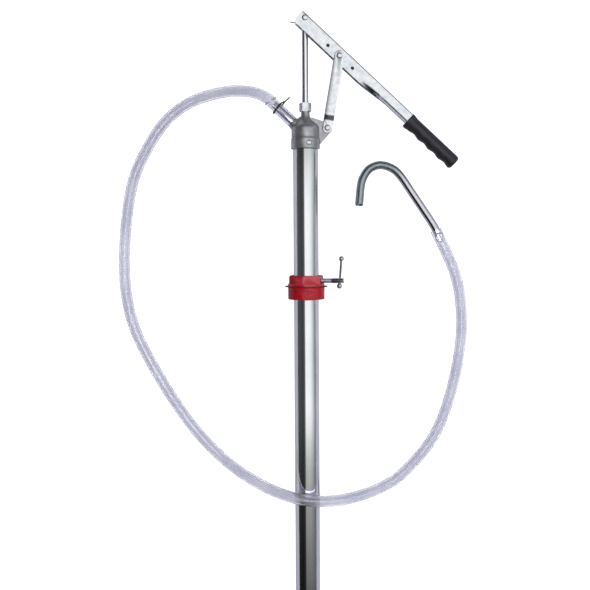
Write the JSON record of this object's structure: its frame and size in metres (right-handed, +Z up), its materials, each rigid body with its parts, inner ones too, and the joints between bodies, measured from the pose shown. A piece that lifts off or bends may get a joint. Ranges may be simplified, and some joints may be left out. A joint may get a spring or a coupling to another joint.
{
  "type": "drum barrel pump",
  "caption": "Lever-action barrel pump with suction tube, cast head, sliding bung adapter with clamp screw, and a clear hose with a hooked spout, laid flat.",
  "frame": {"origin": "middle of the closed end face of the foot strainer, on the suction tube's axis", "axes": "+Y along the suction tube toward the head, +X toward the side of the lever, +Z up from the surface that the pump lies on"},
  "size_m": [0.5688, 1.1531, 0.0737],
  "materials": {
    "bright_steel": "polished tube",
    "zinc_steel": "bright zinc plate",
    "grey_casting": "satin die casting",
    "red_paint": "gloss",
    "black_rubber": "satin",
    "red_fibre": "matte",
    "black_grip": "satin",
    "clear_hose": "clear soft plastic",
    "brass": "turned",
    "black_wire": "coated wire"
  },
  "bodies": {
    "barrel": {"suction_tube": "bright_steel", "foot_strainer": "zinc_steel", "foot_valve_seat": "brass", "foot_valve_guide": "zinc_steel", "pump_head": "grey_casting", "head_set_screw": "zinc_steel", "outlet_spigot": "bright_steel", "gland_packing": "black_rubber", "packing_nut": "zinc_steel", "hose_tie": "black_wire", "hose_inlet_end": "clear_hose", "hose": "clear_hose", "hose_outlet_end": "clear_hose", "spout": "bright_steel"},
    "foot_valve": {"foot_valve_disc": "black_rubber"},
    "rod": {"piston_rod": "bright_steel", "piston_body": "brass", "piston_seal": "black_rubber", "piston_valve_stop": "zinc_steel", "piston_nut": "zinc_steel"},
    "piston_valve": {"piston_valve_disc": "black_rubber"},
    "link": {"link_front": "zinc_steel", "link_back": "zinc_steel", "link_bottom_pin": "zinc_steel", "link_top_pin": "zinc_steel"},
    "lever": {"lever": "zinc_steel", "grip": "black_grip", "rod_pin_front": "zinc_steel", "rod_pin_back": "zinc_steel", "split_pin": "zinc_steel"},
    "bush": {"guide_bush": "black_rubber"},
    "adapter": {"bung_adapter": "red_paint", "bung_gasket": "red_fibre"},
    "pad": {"clamp_pad": "brass"},
    "clamp": {"clamp_screw": "zinc_steel"},
    "tommy": {"tommy_bar": "zinc_steel", "tommy_knob": "zinc_steel"}
  },
  "joints": [
    {"name": "link_swing", "type": "hinge", "parent": "barrel", "child": "link", "pos_m": [0.0347, 0.9706, 0], "axis": [0, 0, 1], "range_deg": [-12.95, 0]},
    {"name": "lever_swing", "type": "hinge", "parent": "link", "child": "lever", "pos_m": [0.05383, 1.08249, 0], "axis": [0, 0, 1], "range_deg": [0, 72.9]},
    {"name": "rod_stroke", "type": "slide", "parent": "barrel", "child": "rod", "axis": [0, 1, 0], "range_m": [-0.0835, 0]},
    {"name": "piston_valve_lift", "type": "slide", "parent": "rod", "child": "piston_valve", "axis": [0, 1, 0], "range_m": [0, 0.004]},
    {"name": "foot_valve_lift", "type": "slide", "parent": "barrel", "child": "foot_valve", "axis": [0, 1, 0], "range_m": [0, 0.005]},
    {"name": "adapter_slide", "type": "slide", "parent": "barrel", "child": "bush", "axis": [0, 1, 0], "range_m": [-0.28, 0.19]},
    {"name": "adapter_turn", "type": "hinge", "parent": "bush", "child": "adapter", "pos_m": [0, 0.72, 0], "axis": [0, -1, 0], "continuous": true},
    {"name": "pad_feed", "type": "slide", "parent": "adapter", "child": "pad", "axis": [0.9763, 0, 0.2164], "range_m": [0, 0.00251]},
    {"name": "clamp_screw_turn", "type": "hinge", "parent": "pad", "child": "clamp", "pos_m": [0.0491, 0.7286, 0.01089], "axis": [0.9763, 0, 0.2164], "range_deg": [0, 720]},
    {"name": "tommy_slide", "type": "slide", "parent": "clamp", "child": "tommy", "axis": [0.088, 0.9135, -0.3971], "range_m": [-0.0284, 0]}
  ],
  "couplings": [
    {"joint": "link_swing", "follows": "lever_swing", "ratio": -0.17721},
    {"joint": "rod_stroke", "follows": "lever_swing", "m_per_rad": -0.065557},
    {"joint": "pad_feed", "follows": "clamp_screw_turn", "m_per_rad": 0.00019894}
  ]
}
